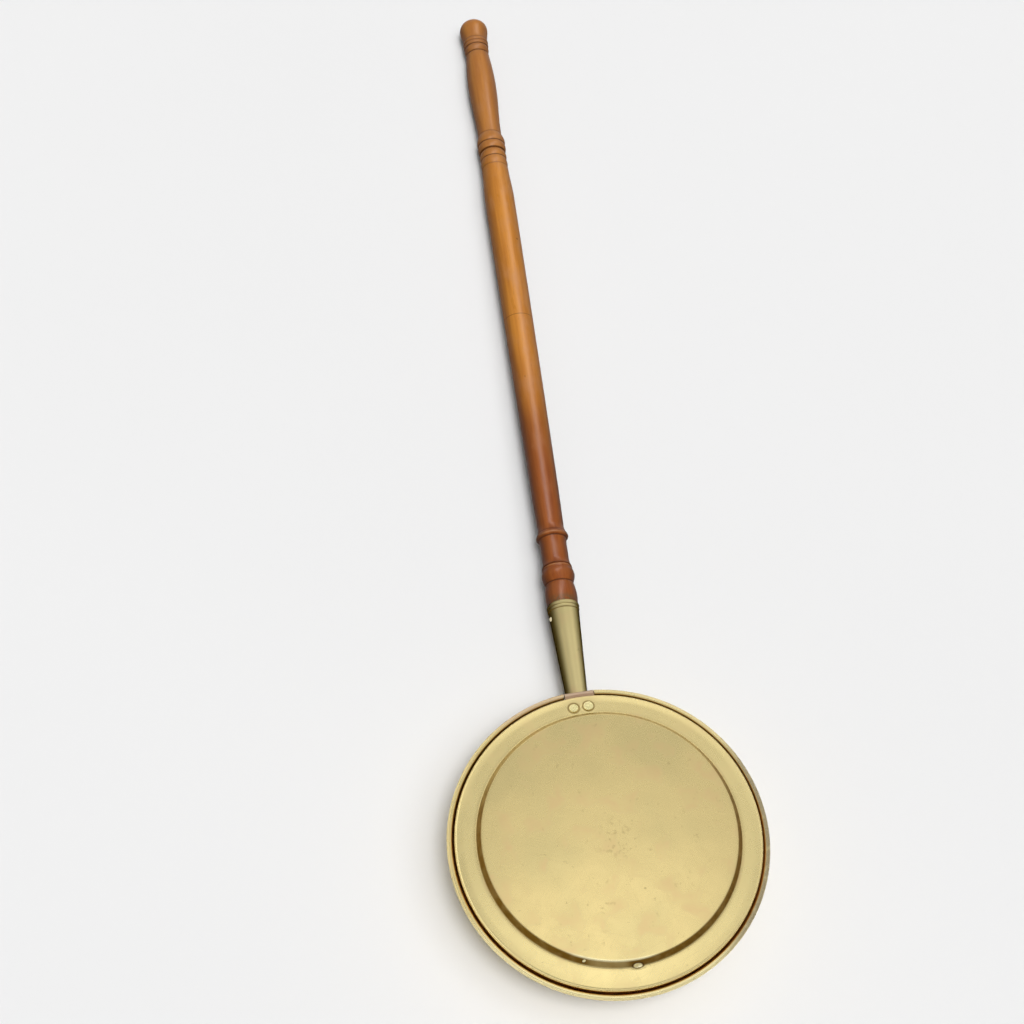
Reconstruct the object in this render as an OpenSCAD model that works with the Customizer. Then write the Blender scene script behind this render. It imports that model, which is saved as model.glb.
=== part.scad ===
// Bed warming pan: a brass pan with a hinged brass lid on a long turned wooden handle.
// Millimetres, +Z up. The origin is the centre of the pan's flat base, and the handle runs along +Y.

/* [Pan] */
// Outside diameter over the rolled rim
pan_d = 300; // [260:5:340]
// Height of the rim above the base
pan_h = 85; // [70:1:110]
// Thickness of the brass sheet of the pan and the lid
sheet_t = 1; // [0.8:0.1:1.4]
// Lean of the wall from upright, in degrees
wall_lean = 18; // [10:1:25]
// Outside radius of the corner between wall and base
corner_r = 18; // [12:1:24]
// Diameter of the iron wire inside the rolled rim
wire_d = 3.2; // [2.6:0.1:4.4]

/* [Lid] */
// Gap seen from above between the lid's edge and the rolled rim
lid_gap = 1.7; // [1.4:0.1:4]
// Height of the lid's shoulder above the rim
border_h = 3.8; // [3:0.2:6]
// Width of the lid's border between its shoulder and the raised panel
border_w = 17; // [14:0.1:20]
// Rise of the lid's border from its shoulder to the raised panel
border_rise = 2; // [1:0.2:3]
// Outside radius of the shoulder where the border turns down
shoulder_r = 3; // [2:0.5:4]
// Space between the bottom of the lid's skirt and the pan's wall
lid_seat = 0.3; // [0.2:0.05:0.6]
// Height of the raised panel's edge above the border
panel_h = 6.8; // [4:0.2:12]
// Slope of the raised panel's edge, in degrees
panel_slope = 58; // [45:1:75]
// Outside radius of the bends at the foot and the top of the panel's edge
panel_bend = 1.8; // [1.5:0.1:3]
// Rise of the crowned panel from its edge to its centre
panel_crown = 3.5; // [1:0.5:8]

/* [Hinge] */
// How far the hinge sits round the rim from the handle's line, in degrees
hinge_turn = 2.7; // [-8:0.1:8]
// Width of the copper strap that curls round the rim wire
strap_w = 28; // [20:1:40]
// Thickness of the strap
strap_t = 1; // [0.8:0.1:1.2]
// Slope of the strap between the rim wire and the lid, in degrees
strap_slope = 17; // [15:1:20]
// Distance from the middle of the rivets to the strap's inner end
strap_end = 5.6; // [5:0.2:7]
// Gap at each side of the strap in the cut-away rim
strap_side_gap = 0.8; // [0.4:0.1:2]
// Running clearance round the rim wire
wire_fit = 0.05; // [0.02:0.01:0.1]
// Distance between the two lid rivets
rivet_pitch = 14.2; // [12:0.2:18]
// Distance of the rivets outward from the middle of the lid's border
rivet_shift = -0.6; // [-1:0.05:2]
// Turn of the pair of rivets to the left of the strap's middle, in degrees
rivet_side = 0.6; // [-1:0.1:1]
// Diameter of the flat rivet heads on the lid
lid_rivet_head_d = 9.4; // [7:0.2:10.5]
// Thickness of the flat rivet heads on the lid
lid_rivet_head_h = 1.2; // [0.8:0.1:2]
// Diameter of the lid rivets' shanks
lid_rivet_d = 4; // [3:0.2:5]

/* [Socket] */
// Height at which the handle's line meets the pan's wall
socket_z = 40.6; // [36:0.2:46]
// Diameter of the round plate on the outside of the pan
plate_d = 42; // [38:1:46]
// Thickness of the round plate
plate_t = 1.5; // [1:0.1:2.5]
// Diameter of the backing plate inside the pan
backing_d = 40; // [38:1:44]
// Thickness of the backing plate
backing_t = 1.2; // [0.8:0.1:2]
// Distance of the plate rivets from the handle's line
plate_rivet_r = 15.4; // [15:0.1:16]
// Diameter of the plate rivets' shanks
plate_rivet_d = 3.2; // [2.6:0.1:4]
// Diameter of the plate rivets' domed heads
plate_rivet_head_d = 6.2; // [5:0.2:7]

/* [Line of the handle] */
// How far the handle's foot stands to the side of the pan's middle
handle_shift = -3.6; // [-6:0.1:6]
// How far the handle's line turns back to the other side, in degrees
handle_yaw = 0.19; // [-1:0.01:1]

/* [Ferrule] */
// Length of the ferrule along the handle's line
ferrule_len = 130.4; // [110:0.2:160]
// Outside diameter of the ferrule at the pan
ferrule_small_d = 18.6; // [16:0.2:20]
// Outside diameter of the ferrule at its mouth, without the beads
ferrule_mouth_d = 32; // [29:0.2:34]
// Thickness of the ferrule's brass
ferrule_t = 1.2; // [0.8:0.1:1.6]
// Width of the two rolled beads at the ferrule's mouth
bead_w = 7.6; // [6:0.2:12]
// How far the wider bead stands out
bead_rise = 0.5; // [0.4:0.1:1.4]
// Depth of the wood inside the ferrule
tenon_len = 92; // [60:1:100]
// Distance from the ferrule's mouth to the nail
nail_inset = 15; // [13:0.2:25]
// How far the nail is turned up from level, in degrees
nail_turn = 18; // [0:1:60]
// Length of the nail's shank
nail_len = 14; // [8:1:15]
// Diameter of the nail's shank
nail_d = 1.8; // [1.4:0.1:2.4]
// Diameter of the nail's head
nail_head_d = 4.6; // [3.4:0.1:5.6]

/* [Turned foot of the handle] */
// Length of the swelling next to the ferrule
swell_len = 23.9; // [16:0.1:28]
// Diameter of the swelling
swell_d = 32.4; // [32:0.2:36]
// Diameter of the groove between swelling and bulb
groove_d = 28; // [24:0.5:30]
// Length of the bulb
bulb_len = 16.4; // [13:0.2:24]
// Diameter of the bulb
bulb_d = 33.6; // [31:0.2:38]
// Diameter of the fine ridge above the bulb
ridge_d = 31.2; // [29.6:0.2:32]
// Width of the fine ridge above the bulb
ridge_w = 2.6; // [1.6:0.2:4]
// Length of the waist
waist_len = 33.1; // [24:0.1:44]
// Diameter of the waist
waist_d = 27.4; // [24:0.2:29]
// How far the waist flares at its foot
waist_flare = 1.6; // [0.8:0.1:2]
// Width of the ring above the waist
ring_w = 5.8; // [4.4:0.2:9]
// Diameter of the ring above the waist
ring_d = 33.4; // [31:0.1:36]
// Length of the cove between the ring and the shaft
cove_len = 9; // [5:0.5:12]

/* [Shaft of the handle] */
// Length of the shaft from the cove to the collar
shaft_len = 472; // [400:1:540]
// Distance from the cove to the joint between the two shaft pieces
joint_at = 260; // [200:1:300]
// Diameter of the shaft at the cove
shaft_small_d = 27.2; // [24:0.2:28]
// Largest diameter of the shaft
shaft_large_d = 33.6; // [30:0.1:35]
// Distance of the largest diameter from the collar
shaft_large_at = 42; // [36:1:120]
// Diameter of the shaft's neck below the collar
collar_neck_d = 30; // [28:0.2:30.4]
// Diameter of the turned tenon in the shaft joint
shaft_tenon_d = 14; // [10:0.5:16]
// Length of the turned tenon in the shaft joint
shaft_tenon_len = 30; // [20:1:45]

/* [Grip and end knob] */
// Length of the collar of bead and band below the first dark groove
collar_len = 22.2; // [16:0.2:28]
// Diameter of the collar
collar_d = 30.8; // [30.4:0.2:34]
// Width of the two dark grooves beside the grip
dark_w = 2; // [1:0.1:2.4]
// Depth of the two dark grooves beside the grip
dark_deep = 2.2; // [1:0.1:2.6]
// Length of the bead above the first dark groove
bead_len = 10; // [6:0.2:12]
// Length of the torus above the bead
torus_len = 14.4; // [10:0.2:28]
// Diameter of the bead and the torus
torus_d = 32.2; // [31.4:0.2:36]
// Length of the vase-shaped grip
grip_len = 123.6; // [100:0.2:140]
// Diameter at the foot of the grip
grip_foot_d = 26.8; // [25:0.2:29]
// Largest diameter of the grip
grip_large_d = 32.6; // [30:0.2:36]
// Diameter at the far end of the grip
grip_end_d = 27.6; // [26:0.2:29]
// Length of the three rings below the end knob
knob_rings_len = 19.4; // [14:0.2:26]
// Diameter of the rings below the end knob
knob_rings_d = 29.4; // [28:0.2:31]
// Length of the end knob's ball
knob_len = 32; // [28:0.5:44]
// Diameter of the end knob's ball
knob_d = 32.8; // [31:0.2:36]
// Diameter of the turned tenons of the grip and the knob
grip_tenon_d = 12; // [9:0.5:14]
// Length of the turned tenons of the grip and the knob
grip_tenon_len = 24; // [16:1:32]

/* [Hidden] */
$fn = 96;

// Colours
brass = "#c3ad6c";
lid_brass = "#cbb877";
old_brass = "#9a8a4e";
copper = "#b48a6a";
iron = "#5b544c";
dark_wood = "#7d3f1f";
light_wood = "#a9652f";

// Points on a turned curve
turn_steps = 14;
// Overlap of cutting shapes
eps = 0.01;
// How much thicker the rim wire is at its two bends
bend_bulge = 0.03;
// Film between the wall and the plates riveted to it
seat_gap = 0.2;

// The rolled rim and its wire
wire_r = wire_d / 2;
bore_r = wire_r + wire_fit;
roll_r = bore_r + sheet_t;
rim_r = pan_d / 2 - roll_r;
rim_z = pan_h - roll_r;

// The wall runs down from the inner side of the rolled rim
wall_in = [-cos(wall_lean), sin(wall_lean)];
wall_top = [rim_r, rim_z] + (roll_r - sheet_t) * wall_in;
// Radius of the wall's outer face at a height, moved outward by grow
function wall_r(z, grow = 0) =
    wall_top[0] - (wall_top[1] - z) * tan(wall_lean) + grow / cos(wall_lean);
base_r = wall_r(corner_r) - corner_r / cos(wall_lean);

// The lid hangs inside the rim
lid_r = pan_d / 2 - 2 * roll_r - lid_gap;
border_r = lid_r - shoulder_r;
skirt_z = wall_top[1] - (wall_top[0] - (lid_r + (sheet_t + lid_seat) / cos(wall_lean))) / tan(wall_lean);
panel_r = border_r - border_w;
border_slope = atan(border_rise / (border_r - panel_r));
shoulder_z = pan_h + border_h - shoulder_r;
// Height of the border's top face at a radius, moved up square to the face by grow
function border_z(r, grow = 0) = shoulder_z + shoulder_r / cos(border_slope)
    + (border_r - r) * tan(border_slope) + grow / cos(border_slope);
foot_z = border_z(panel_r);
panel_z = foot_z + panel_h;
panel_top_r = panel_r - panel_h / tan(panel_slope);
foot_reach = panel_bend * tan((panel_slope - border_slope) / 2);
foot_centre = [panel_r + foot_reach * cos(border_slope), foot_z - foot_reach * sin(border_slope)]
    + panel_bend * [sin(border_slope), cos(border_slope)];
crown_r = panel_top_r - panel_bend * tan(panel_slope / 2);
crown_slope = atan(2 * panel_crown / crown_r);
leaf_t = sheet_t + strap_t;

// The hinge: the wire runs straight across the cut-away rim
cut_half = strap_w / 2 + strap_side_gap;
cut_turn = asin(cut_half / rim_r);
pivot_y = rim_r * cos(cut_turn);
pivot_z = rim_z;
knuckle_r = bore_r + strap_t;
strap_start = [pivot_y, pivot_z] + bore_r * [sin(strap_slope), cos(strap_slope)];
knee_y = (strap_start[1] + strap_start[0] * tan(strap_slope) - border_z(0, -leaf_t))
    / (tan(strap_slope) - tan(border_slope));
// Room for the strap under the shoulder
slot_r = lid_r - sheet_t;
slot_z = strap_start[1] + (strap_start[0] - slot_r) * tan(strap_slope) + strap_t / cos(strap_slope) + 0.4;
rivet_r = border_r - border_w / 2 + rivet_shift;
leaf_end_r = rivet_r - strap_end;
rivet_turn = asin(rivet_pitch / 2 / rivet_r);
rivet_tail_h = 1;

// The handle's line dips until the end knob rests on the surface
foot_y = sqrt(pow(wall_r(socket_z), 2) - pow(handle_shift, 2));
mouth_at = ferrule_len;
beads_at = mouth_at - bead_w;
groove_at = mouth_at + swell_len;
ridge_at = groove_at + bulb_len;
waist_at = ridge_at + ridge_w;
ring_at = waist_at + waist_len;
cove_at = ring_at + ring_w;
shaft_at = cove_at + cove_len;
shaft_joint_at = shaft_at + joint_at;
collar_at = shaft_at + shaft_len;
band_at = collar_at + 0.56 * collar_len;
grip_joint_at = collar_at + collar_len + dark_w;
torus_at = grip_joint_at + bead_len;
grip_at = torus_at + torus_len;
belly_at = grip_at + 0.62 * grip_len;
knob_joint_at = grip_at + grip_len + dark_w;
ball_at = knob_joint_at + knob_rings_len;
ball_mid = ball_at + 0.57 * knob_len;
tip_at = ball_at + knob_len;
ferrule_lean = atan((ferrule_mouth_d - ferrule_small_d) / 2 / ferrule_len);
handle_dip = asin((socket_z - knob_d / 2) / ball_mid);
large_at = collar_at - shaft_large_at;
collar_edge_r = collar_d / 2 - 0.3;
// Length over which the edges of the two dark grooves are rounded, and the depth of the rounding
edge_len = 2;
edge_deep = 0.9;
// Width of the small groove before the ferrule's beads
bead_lip = 0.6;
// How far the valleys between turned rings go in
valley = 0.9;
shaft_fill = 0.6;
// Below 1, the ball's end is flatter than half an ellipse
knob_flat = 0.9;

// Outline helpers: a point is [radius, height]
function arc(c, r, a0, a1, n = 8) = [for (i = [0:n]) let (a = a0 + (a1 - a0) * i / n)
    c + r * [cos(a), sin(a)]];
function unit(v) = v / norm(v);
function left_of(a, b) = let (d = unit(b - a)) [-d[1], d[0]];
// A path moved to its left by t, with mitred corners, never past the axis
function shifted(p, t) = let (e = len(p) - 1) [for (i = [0:e]) let (
    n1 = left_of(p[max(i - 1, 0)], p[max(i, 1)]),
    n2 = left_of(p[min(i, e - 1)], p[min(i + 1, e)]),
    q = p[i] + t * (n1 + n2) / (1 + n1 * n2)) [max(0, q[0]), q[1]]];
function reversed(p) = [for (i = [len(p) - 1:-1:0]) p[i]];
// The closed outline of bent sheet along a path
function sheet(p, t) = concat(p, reversed(shifted(p, t)));

// Turned shapes between two heights
// A bulge from r0 to r1 that is widest, r_top, at the share peak of its length
function bulge(z0, z1, r0, r1, r_top, peak = 0.5, n = turn_steps) = [for (i = [1:n - 1]) let (s = i / n,
    r = s < peak ? r0 + (r_top - r0) * sin(90 * s / peak)
        : r1 + (r_top - r1) * cos(90 * (s - peak) / (1 - peak))) [r, z0 + (z1 - z0) * s]];
// An S-shaped change from r0 to r1
function ease(z0, r0, z1, r1, n = turn_steps) = [for (i = [0:n]) let (s = i / n)
    [r0 + (r1 - r0) * (1 - cos(180 * s)) / 2, z0 + (z1 - z0) * s]];
// A hollow change from r0 that runs out at r1
function cove(z0, r0, z1, r1, n = 8) = [for (i = [0:n]) let (s = i / n)
    [r1 + (r0 - r1) * pow(1 - s, 2), z0 + (z1 - z0) * s]];
// Diameter of the shaft's long swelling
function shaft_d(z) = z <= large_at
    ? shaft_small_d
        + (shaft_large_d - shaft_small_d) * pow((z - shaft_at) / (large_at - shaft_at), shaft_fill)
    : collar_neck_d
        + (shaft_large_d - collar_neck_d) * (1 + cos(180 * (z - large_at) / shaft_large_at)) / 2;
function shaft_line(z0, z1, n) = [for (i = [0:n]) let (z = z0 + (z1 - z0) * i / n) [shaft_d(z) / 2, z]];

// Radius of the ferrule's outer face
function ferrule_r(z) = (ferrule_small_d + (ferrule_mouth_d - ferrule_small_d) * z / ferrule_len) / 2;

// Places a child on the handle's line: its +Z runs from the pan's wall to the end knob
module on_handle() {
    translate([handle_shift, foot_y, socket_z])
        rotate([0, 0, -handle_yaw]) rotate([-(90 + handle_dip), 0, 0]) children();
}

// Places a child in the hinge's own frame, where +Y points out through the middle of the hinge
module at_hinge() {
    rotate([0, 0, hinge_turn]) children();
}

// Places a child on the outer face of the pan's wall: its +Z points out of the wall
module on_wall(turn, z) {
    rotate([0, 0, turn]) translate([0, wall_r(z), z]) rotate([-(90 + wall_lean), 0, 0]) children();
}

// The solid inside the wall's outer face, moved outward by grow
module wall_core(grow) {
    cylinder(h = rim_z, r1 = wall_r(0, grow), r2 = wall_r(rim_z, grow));
}

// The four places of the socket plate's rivets
module at_plate_rivets() {
    for (a = [45, 135, 225, 315]) {
        rivet_z = socket_z + plate_rivet_r * sin(a);
        on_wall(-asin((handle_shift + plate_rivet_r * cos(a)) / wall_r(rivet_z)), rivet_z) children();
    }
}

// The two places of the lid rivets, with +Z square to the border
module at_lid_rivets() {
    at_hinge() for (turn = [-rivet_turn, rivet_turn]) rotate([0, 0, turn + rivet_side])
        translate([0, rivet_r, border_z(rivet_r)]) rotate([-border_slope, 0, 0]) children();
}

// A round head with a domed top on the plane z = 0
module domed_head(d, h) {
    bend = (d * d / 4 + h * h) / (2 * h);
    intersection() {
        translate([0, 0, h - bend]) sphere(r = bend);
        cylinder(h = h, d = d);
    }
}

// Pan of one brass sheet, with its edge rolled over the wire
module pan_body() {
    outline = concat([[0, 0]], arc([base_r, corner_r], corner_r, -90, -wall_lean), [wall_top]);
    color(brass) difference() {
        rotate_extrude() difference() {
            union() {
                polygon(sheet(outline, sheet_t));
                translate([rim_r, rim_z]) circle(r = roll_r);
            }
            translate([rim_r, rim_z]) circle(r = bore_r);
        }
        at_hinge() translate([-cut_half, rim_r - 3 * roll_r, pivot_z - knuckle_r - strap_side_gap])
            cube([2 * cut_half, 6 * roll_r, 4 * roll_r]);
        at_plate_rivets() cylinder(h = 4 * sheet_t, d = plate_rivet_d, center = true);
    }
}

// Iron wire in the rolled rim, straight where the strap turns on it
module rim_wire() {
    color(iron) at_hinge() {
        rotate([0, 0, 90 + cut_turn]) rotate_extrude(angle = 360 - 2 * cut_turn)
            translate([rim_r, 0]) translate([0, rim_z]) circle(r = wire_r);
        translate([0, pivot_y, pivot_z]) rotate([0, 90, 0])
            cylinder(h = 2 * cut_half, r = wire_r, center = true);
        for (x = [-cut_half, cut_half]) translate([x, pivot_y, pivot_z]) sphere(r = wire_r + bend_bulge);
    }
}

// Part of a wall-shaped shell round the handle's line
module wall_disc(inner, outer, d) {
    intersection() {
        difference() {
            wall_core(outer);
            wall_core(inner);
        }
        on_handle() cylinder(h = 60, d = d, center = true);
    }
}

// Round plate on the outside of the pan that carries the ferrule
module socket_plate() {
    color(old_brass) difference() {
        wall_disc(seat_gap, seat_gap + plate_t, plate_d);
        at_plate_rivets() cylinder(h = 6 * plate_t, d = plate_rivet_d, center = true);
    }
}

// Backing plate on the inside of the pan
module backing_plate() {
    color(iron) difference() {
        wall_disc(-sheet_t - seat_gap - backing_t, -sheet_t - seat_gap, backing_d);
        at_plate_rivets() cylinder(h = 6 * (sheet_t + backing_t), d = plate_rivet_d, center = true);
    }
}

// Rivets through plate, wall and backing plate
module socket_rivets() {
    head_z = seat_gap + plate_t;
    tail_z = -sheet_t - 1.5 * seat_gap - backing_t;
    head_h = plate_rivet_head_d / 4;
    color(old_brass) at_plate_rivets() {
        translate([0, 0, head_z]) domed_head(plate_rivet_head_d, head_h);
        translate([0, 0, tail_z - head_h / 2])
            cylinder(h = head_z - tail_z + head_h / 2 + eps, d = plate_rivet_d);
        translate([0, 0, tail_z - head_h]) cylinder(h = head_h, d = plate_rivet_head_d);
    }
}

// Where the nail goes through the ferrule's wall into the wood, square to the ferrule's face
module on_nail_line() {
    on_handle() translate([0, 0, mouth_at - nail_inset]) rotate([0, 0, 180 + nail_turn])
        rotate([0, 90 + ferrule_lean, 0]) children();
}

// Tapered brass ferrule between the plate and the handle, with rolled beads at its mouth
module ferrule() {
    low_z = -plate_d / 4;
    mid_z = beads_at + 0.5 * bead_w;
    dip_r = ferrule_r(mid_z) - 0.5 * bead_rise;
    lip_z = beads_at - bead_lip;
    start_r = ferrule_r(beads_at) - bead_lip / 2;
    color(old_brass) difference() {
        on_handle() rotate_extrude() polygon(concat(
            [[ferrule_r(low_z), low_z], [ferrule_r(lip_z), lip_z], [start_r, beads_at]],
            bulge(beads_at, mid_z, start_r, dip_r, ferrule_r(mid_z) + 0.6 * bead_rise, 0.5, 8),
            [[dip_r, mid_z]],
            bulge(mid_z, mouth_at, dip_r, ferrule_r(beads_at), ferrule_r(mouth_at) + bead_rise, 0.45, 8),
            [[ferrule_r(beads_at), mouth_at], [ferrule_r(beads_at) - ferrule_t, mouth_at]],
            [[ferrule_r(beads_at) - ferrule_t, beads_at], [ferrule_r(low_z) - ferrule_t, low_z]]));
        wall_core(seat_gap + plate_t);
        on_nail_line() cylinder(h = ferrule_mouth_d, d = nail_d);
    }
}

// Nail that holds the wood in the ferrule
module ferrule_nail() {
    seat_r = ferrule_r(mouth_at - nail_inset) * cos(ferrule_lean);
    color(brass) on_nail_line() translate([0, 0, seat_r]) {
        domed_head(nail_head_d, nail_head_d / 4);
        translate([0, 0, -nail_len]) cylinder(h = nail_len + eps, d = nail_d);
    }
}

// Foot of the handle: tapered tenon, swelling, bulb, waist, ring and the first part of the shaft
module lower_shaft() {
    tenon_z = mouth_at - tenon_len;
    play = ferrule_t + wire_fit;
    foot_r = ferrule_r(beads_at);
    ridge_r = ridge_d / 2 - 0.4;
    waist_r = waist_d / 2;
    ring_foot_r = waist_r + 0.45 * waist_flare;
    color(dark_wood) difference() {
        on_handle() rotate_extrude() polygon(concat(
            [[0, tenon_z], [ferrule_r(tenon_z) - play, tenon_z]],
            [[foot_r - play, beads_at], [foot_r - play, mouth_at], [foot_r, mouth_at]],
            bulge(mouth_at, groove_at, foot_r, groove_d / 2 + 0.6, swell_d / 2, 0.4),
            [[groove_d / 2, groove_at]],
            bulge(groove_at, ridge_at, groove_d / 2, ridge_r, bulb_d / 2, 0.62),
            bulge(ridge_at, waist_at, ridge_r, ridge_r - 0.6, ridge_d / 2, 0.4, 6),
            [[ridge_r - 0.7, waist_at]],
            cove(waist_at + 0.4, waist_r + waist_flare, waist_at + 0.25 * waist_len, waist_r),
            reversed(cove(ring_at, ring_foot_r, ring_at - 0.25 * waist_len, waist_r)),
            bulge(ring_at, cove_at, ring_foot_r, ring_d / 2 - 1.2, ring_d / 2, 0.45),
            cove(cove_at, ring_d / 2 - 1.2, shaft_at, shaft_small_d / 2),
            shaft_line(shaft_at + 4, shaft_joint_at, 12),
            [[0, shaft_joint_at]]));
        on_handle() translate([0, 0, shaft_joint_at - shaft_tenon_len - 1])
            cylinder(h = shaft_tenon_len + 2, d = shaft_tenon_d + 2 * wire_fit);
        on_nail_line() cylinder(h = ferrule_mouth_d, d = nail_d);
    }
}

// Second part of the shaft, with the collar of bead and band below the first dark groove
module upper_shaft() {
    neck_r = collar_edge_r - dark_deep;
    valley_r = collar_d / 2 - valley;
    color(light_wood) on_handle() difference() {
        rotate_extrude() polygon(concat(
            [[0, shaft_joint_at - shaft_tenon_len], [shaft_tenon_d / 2, shaft_joint_at - shaft_tenon_len]],
            [[shaft_tenon_d / 2, shaft_joint_at]],
            shaft_line(shaft_joint_at, collar_at, 16),
            [[collar_neck_d / 2 - 0.5, collar_at + 0.6]],
            bulge(collar_at + 0.6, band_at, collar_neck_d / 2 - 0.5, valley_r, collar_d / 2 - 0.1, 0.5, 10),
            [[valley_r, band_at]],
            bulge(band_at, collar_at + collar_len, valley_r, collar_edge_r - edge_deep, collar_d / 2, 0.5),
            [[collar_edge_r - edge_deep, collar_at + collar_len], [neck_r, collar_at + collar_len]],
            [[neck_r, grip_joint_at], [0, grip_joint_at]]));
        translate([0, 0, grip_joint_at - grip_tenon_len - 1])
            cylinder(h = grip_tenon_len + 2, d = grip_tenon_d + 2 * wire_fit);
    }
}

// Vase-shaped grip with a bead and a torus at its foot
module grip() {
    bead_r = torus_d / 2 - valley - 0.3;
    end_z = knob_joint_at - dark_w;
    neck_r = grip_end_d / 2 - dark_deep;
    color(light_wood) on_handle() difference() {
        rotate_extrude() polygon(concat(
            [[0, grip_joint_at - grip_tenon_len], [grip_tenon_d / 2, grip_joint_at - grip_tenon_len]],
            [[grip_tenon_d / 2, grip_joint_at], [bead_r, grip_joint_at]],
            bulge(grip_joint_at, torus_at, bead_r, bead_r + 0.2, torus_d / 2 - 0.1, 0.5, 10),
            [[bead_r + 0.2, torus_at]],
            bulge(torus_at, grip_at, bead_r + 0.2, grip_foot_d / 2, torus_d / 2, 0.25),
            ease(grip_at, grip_foot_d / 2, belly_at, grip_large_d / 2),
            bulge(belly_at, end_z - edge_len, grip_large_d / 2, grip_end_d / 2, grip_large_d / 2, 0.01),
            [for (i = [0:4]) let (a = 22.5 * i)
                [grip_end_d / 2 - edge_deep * (1 - cos(a)), end_z - edge_len * (1 - sin(a))]],
            [[neck_r, end_z], [neck_r, knob_joint_at], [0, knob_joint_at]]));
        translate([0, 0, knob_joint_at - grip_tenon_len - 1])
            cylinder(h = grip_tenon_len + 2, d = grip_tenon_d + 2 * wire_fit);
    }
}

// End knob: three rings and a ball
module end_knob() {
    ring_r = knob_rings_d / 2;
    z1 = knob_joint_at + 0.47 * knob_rings_len;
    z2 = knob_joint_at + 0.75 * knob_rings_len;
    color(light_wood) on_handle() rotate_extrude() polygon(concat(
        [[0, knob_joint_at - grip_tenon_len], [grip_tenon_d / 2, knob_joint_at - grip_tenon_len]],
        [[grip_tenon_d / 2, knob_joint_at], [ring_r - 1.5 - edge_deep, knob_joint_at]],
        bulge(knob_joint_at, z1, ring_r - 1.5 - edge_deep, ring_r - 0.4 - valley, ring_r - 0.4, 0.62, 12),
        [[ring_r - 0.4 - valley, z1]],
        bulge(z1, z2, ring_r - 0.4 - valley, ring_r - valley, ring_r, 0.5, 8),
        [[ring_r - valley, z2]],
        bulge(z2, ball_at, ring_r - valley, ring_r - 0.5, ring_r + 0.1, 0.5, 8),
        ease(ball_at, ring_r - 0.5, ball_mid, knob_d / 2),
        [for (i = [1:turn_steps]) let (a = 90 * i / turn_steps)
            [knob_d / 2 * pow(cos(a), knob_flat), ball_mid + (tip_at - ball_mid) * sin(a)]]));
}

// Lid of one brass sheet: skirt, rounded shoulder, sloping border and raised panel
module lid() {
    outline = concat(
        [[lid_r, skirt_z]],
        arc([border_r, shoulder_z], shoulder_r, 0, 90 - border_slope),
        arc(foot_centre, panel_bend, -90 - border_slope, -90 - panel_slope, 6),
        arc([crown_r, panel_z - panel_bend], panel_bend, 90 - panel_slope, 90 - crown_slope),
        [for (i = [9:-1:0]) let (s = i / 10) [crown_r * s, panel_z + panel_crown * (1 - s * s)]]);
    color(lid_brass) difference() {
        rotate_extrude() polygon(sheet(outline, sheet_t));
        at_hinge() translate([-cut_half, border_r, skirt_z - 1])
            cube([2 * cut_half, 2 * shoulder_r, slot_z - skirt_z + 1]);
        at_lid_rivets() cylinder(h = 4 * sheet_t, d = lid_rivet_d, center = true);
    }
}

// Copper strap that curls round the rim wire and is riveted under the lid's border
module hinge_strap() {
    underside = [[leaf_end_r, border_z(leaf_end_r, -leaf_t)], [knee_y, border_z(knee_y, -leaf_t)],
        strap_start];
    color(copper) difference() {
        at_hinge() translate([-strap_w / 2, 0, 0]) rotate([90, 0, 90]) linear_extrude(height = strap_w)
            difference() {
                union() {
                    translate([pivot_y, pivot_z]) circle(r = knuckle_r);
                    polygon(sheet(underside, strap_t));
                    // Spare height that the lid's own slope trims away
                    polygon(sheet([underside[0], underside[1]], strap_t + 0.2));
                }
                translate([pivot_y, pivot_z]) circle(r = bore_r);
            }
        rotate_extrude() polygon([
            [panel_r, border_z(panel_r, -sheet_t)], [slot_r, border_z(slot_r, -sheet_t)],
            [slot_r, panel_z], [panel_r, panel_z]]);
        at_lid_rivets() cylinder(h = 8 * sheet_t, d = lid_rivet_d, center = true);
    }
}

// Two flat-headed rivets through lid and strap
module lid_rivets() {
    head_r = lid_rivet_head_d / 2;
    color(lid_brass) at_lid_rivets() {
        rotate_extrude() polygon([[0, 0], [head_r, 0], [head_r, lid_rivet_head_h / 2],
            [head_r - 0.8, lid_rivet_head_h], [0, lid_rivet_head_h]]);
        translate([0, 0, -leaf_t - rivet_tail_h])
            cylinder(h = leaf_t + rivet_tail_h + eps, d = lid_rivet_d);
        translate([0, 0, -leaf_t - rivet_tail_h]) cylinder(h = rivet_tail_h, d = 1.6 * lid_rivet_d);
    }
}

pan_body();
rim_wire();
backing_plate();
socket_plate();
socket_rivets();
ferrule();
ferrule_nail();
lower_shaft();
upper_shaft();
grip();
end_knob();
lid();
hinge_strap();
lid_rivets();
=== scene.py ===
import math

import bmesh
import bpy
from mathutils import Matrix, Vector, noise


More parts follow.
